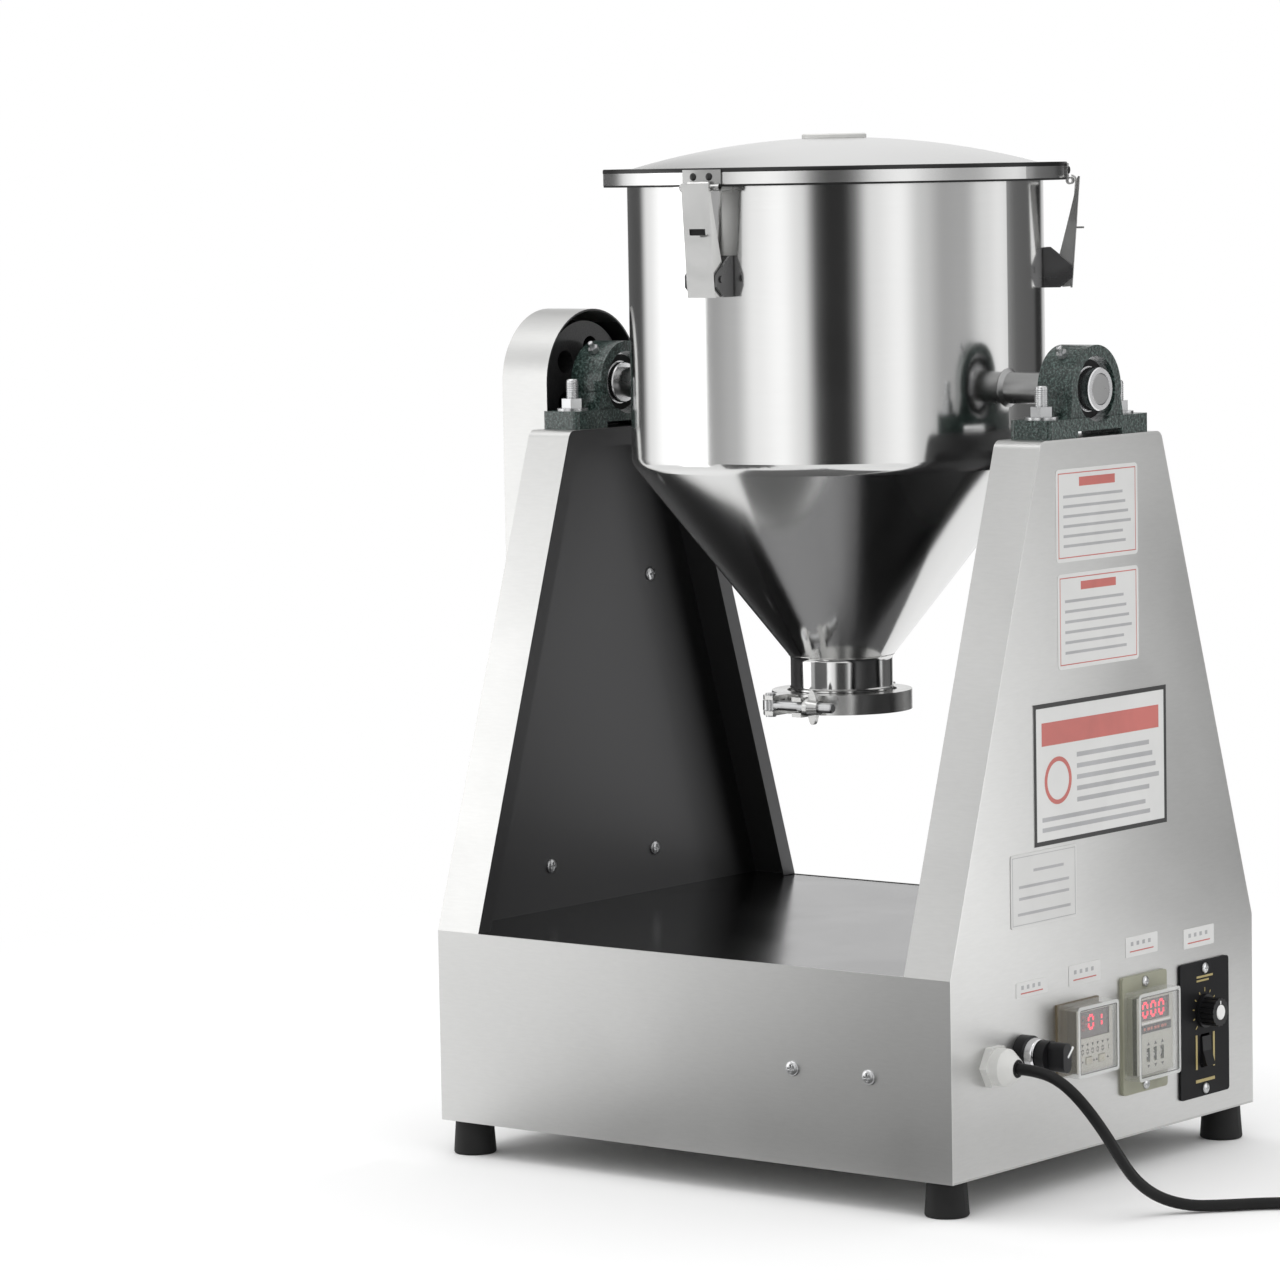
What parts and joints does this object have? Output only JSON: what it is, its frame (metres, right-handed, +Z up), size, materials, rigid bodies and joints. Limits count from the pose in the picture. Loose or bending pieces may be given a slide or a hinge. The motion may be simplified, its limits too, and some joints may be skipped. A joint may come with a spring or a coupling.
{
  "type": "drum mixer",
  "caption": "Tumbling drum mixer: a lidded drum with conical outlet on pillow blocks over a folded stainless base, with belt drive, guard and side controls.",
  "frame": {"origin": "on the floor under the crossing of the drum axis and the trunnion axis", "axes": "+Z up, front of the machine faces -Y, controls on +X, belt drive on -X"},
  "size_m": [0.8256, 0.4292, 0.824],
  "materials": {
    "frame_steel": "satin stainless sheet",
    "drum_steel": "polished stainless",
    "clamp_steel": "investment cast stainless",
    "shaft_steel": "turned steel",
    "zinc_steel": "bright fasteners",
    "green_iron": "dark green hammered paint",
    "pulley_iron": "dark grey",
    "motor_paint": "grey blue paint",
    "black_rubber": "matte",
    "white_silicone": "matte",
    "white_plastic": "glossy",
    "black_plastic": "matte",
    "beige_plastic": "matte",
    "olive_plastic": "matte",
    "clear_plastic": "clear",
    "red_plastic": "glossy"
  },
  "bodies": {
    "frame": {"front_fascia": "frame_steel", "rear_fascia": "frame_steel", "side_panel_left": "frame_steel", "side_panel_right": "frame_steel", "deck_plate": "frame_steel", "bottom_pan": "frame_steel", "seat_plates": "frame_steel", "rubber_feet": "black_rubber", "frame_screws": "zinc_steel", "pillow_block_left": "green_iron", "pillow_block_right": "green_iron", "bearing_outer_rings": "zinc_steel", "bearing_hardware": "zinc_steel", "gear_motor": "motor_paint", "motor_bracket": "frame_steel", "belt_guard": "frame_steel", "drive_belt": "black_rubber", "cable_gland": "white_plastic", "switch_collar": "black_plastic", "counter_case": "beige_plastic", "timer_case": "olive_plastic", "speed_plate": "black_plastic", "power_cord": "black_rubber", "cord_coil": "black_rubber", "power_plug": "black_rubber"},
    "drum": {"drum_shell": "drum_steel", "stub_shaft_left": "shaft_steel", "stub_shaft_right": "shaft_steel", "bearing_inner_rings": "zinc_steel", "drum_pulley": "pulley_iron", "latch_brackets": "drum_steel", "outlet_gasket": "white_silicone", "outlet_cap": "drum_steel", "clamp_half_left": "clamp_steel", "clamp_half_right": "clamp_steel", "clamp_pins": "zinc_steel"},
    "motor_rotor": {"motor_shaft": "shaft_steel", "motor_pulley": "pulley_iron"},
    "lid": {"lid": "drum_steel", "lid_gasket": "white_silicone", "lid_cap": "white_plastic", "catch_plates": "drum_steel"},
    "bolt": {"swing_bolt": "zinc_steel"},
    "nut": {"wing_nut": "clamp_steel"},
    "switch": {"switch_knob": "black_plastic"},
    "counter_cover": {"counter_cover": "clear_plastic"},
    "timer_cover": {"timer_cover": "clear_plastic"},
    "knob": {"speed_knob": "black_plastic"},
    "rocker": {"run_rocker": "red_plastic"},
    "key_1": {"counter_key_1": "red_plastic"},
    "key_2": {"counter_key_2": "red_plastic"},
    "wheel_1": {"timer_wheel_1": "black_plastic"},
    "lever_1": {"latch_lever_1": "drum_steel"},
    "hook_1": {"latch_hook_1": "drum_steel"},
    "wheel_2": {"timer_wheel_2": "black_plastic"},
    "lever_2": {"latch_lever_2": "drum_steel"},
    "hook_2": {"latch_hook_2": "drum_steel"},
    "wheel_3": {"timer_wheel_3": "black_plastic"},
    "lever_3": {"latch_lever_3": "drum_steel"},
    "hook_3": {"latch_hook_3": "drum_steel"}
  },
  "joints": [
    {"name": "drum_spin", "type": "hinge", "parent": "frame", "child": "drum", "pos_m": [0, 0, 0.6215], "axis": [1, 0, 0], "continuous": true},
    {"name": "motor_spin", "type": "hinge", "parent": "frame", "child": "motor_rotor", "pos_m": [-0.274, 0, 0.105], "axis": [1, 0, 0], "continuous": true},
    {"name": "lid_lift", "type": "slide", "parent": "drum", "child": "lid", "axis": [0, 0, 1], "range_m": [0, 0.06]},
    {"name": "lever_1_open", "type": "hinge", "parent": "drum", "child": "lever_1", "pos_m": [0.00966, -0.18425, 0.712], "axis": [0.9986, 0.0523, 0], "range_deg": [0, 165.2]},
    {"name": "hook_1_swing", "type": "hinge", "parent": "lever_1", "child": "hook_1", "pos_m": [0.00971, -0.18525, 0.703], "axis": [0.9986, 0.0523, 0], "range_deg": [-15.2, 0]},
    {"name": "lever_2_open", "type": "hinge", "parent": "drum", "child": "lever_2", "pos_m": [0.15474, 0.10049, 0.712], "axis": [-0.5446, 0.8387, 0], "range_deg": [0, 165.2]},
    {"name": "hook_2_swing", "type": "hinge", "parent": "lever_2", "child": "hook_2", "pos_m": [0.15557, 0.10103, 0.703], "axis": [-0.5446, 0.8387, 0], "range_deg": [-15.2, 0]},
    {"name": "lever_3_open", "type": "hinge", "parent": "drum", "child": "lever_3", "pos_m": [-0.16439, 0.08376, 0.712], "axis": [-0.454, -0.891, 0], "range_deg": [0, 165.2]},
    {"name": "hook_3_swing", "type": "hinge", "parent": "lever_3", "child": "hook_3", "pos_m": [-0.16528, 0.08421, 0.703], "axis": [-0.454, -0.891, 0], "range_deg": [-15.2, 0]},
    {"name": "bolt_swing", "type": "hinge", "parent": "drum", "child": "bolt", "pos_m": [-0.021, -0.068, 0.367], "axis": [0, 0, -1], "range_deg": [0, 95]},
    {"name": "wing_nut_spin", "type": "hinge", "parent": "bolt", "child": "nut", "pos_m": [0.02, -0.068, 0.367], "axis": [1, 0, 0], "continuous": true},
    {"name": "switch_turn", "type": "hinge", "parent": "frame", "child": "switch", "pos_m": [0.28, -0.1185, 0.116], "axis": [1, 0, 0], "range_deg": [-45, 45]},
    {"name": "counter_cover_pull", "type": "slide", "parent": "frame", "child": "counter_cover", "axis": [1, 0, 0], "range_m": [0, 0.05]},
    {"name": "timer_cover_pull", "type": "slide", "parent": "frame", "child": "timer_cover", "axis": [1, 0, 0], "range_m": [0, 0.05]},
    {"name": "speed_knob_turn", "type": "hinge", "parent": "frame", "child": "knob", "pos_m": [0.265, 0.138, 0.114], "axis": [1, 0, 0], "range_deg": [-150, 150]},
    {"name": "run_rocker_tilt", "type": "hinge", "parent": "frame", "child": "rocker", "pos_m": [0.251, 0.138, 0.082], "axis": [0, 1, 0], "range_deg": [0, 12]},
    {"name": "counter_key_1_press", "type": "slide", "parent": "frame", "child": "key_1", "axis": [-1, 0, 0], "range_m": [0, 0.0015], "stiffness_N_per_m": 400},
    {"name": "counter_key_2_press", "type": "slide", "parent": "frame", "child": "key_2", "axis": [-1, 0, 0], "range_m": [0, 0.0015], "stiffness_N_per_m": 400},
    {"name": "timer_wheel_1_turn", "type": "hinge", "parent": "frame", "child": "wheel_1", "pos_m": [0.2565, 0.039, 0.093], "axis": [0, 1, 0], "continuous": true},
    {"name": "timer_wheel_2_turn", "type": "hinge", "parent": "frame", "child": "wheel_2", "pos_m": [0.2565, 0.049, 0.093], "axis": [0, 1, 0], "continuous": true},
    {"name": "timer_wheel_3_turn", "type": "hinge", "parent": "frame", "child": "wheel_3", "pos_m": [0.2565, 0.059, 0.093], "axis": [0, 1, 0], "continuous": true}
  ],
  "couplings": [
    {"joint": "motor_spin", "follows": "drum_spin", "ratio": 1.8462},
    {"joint": "lever_1_open", "follows": "lid_lift", "rad_per_m": 47.997},
    {"joint": "hook_1_swing", "follows": "lid_lift", "rad_per_m": -4.363},
    {"joint": "lever_2_open", "follows": "lid_lift", "rad_per_m": 47.997},
    {"joint": "hook_2_swing", "follows": "lid_lift", "rad_per_m": -4.363},
    {"joint": "lever_3_open", "follows": "lid_lift", "rad_per_m": 47.997},
    {"joint": "hook_3_swing", "follows": "lid_lift", "rad_per_m": -4.363}
  ]
}
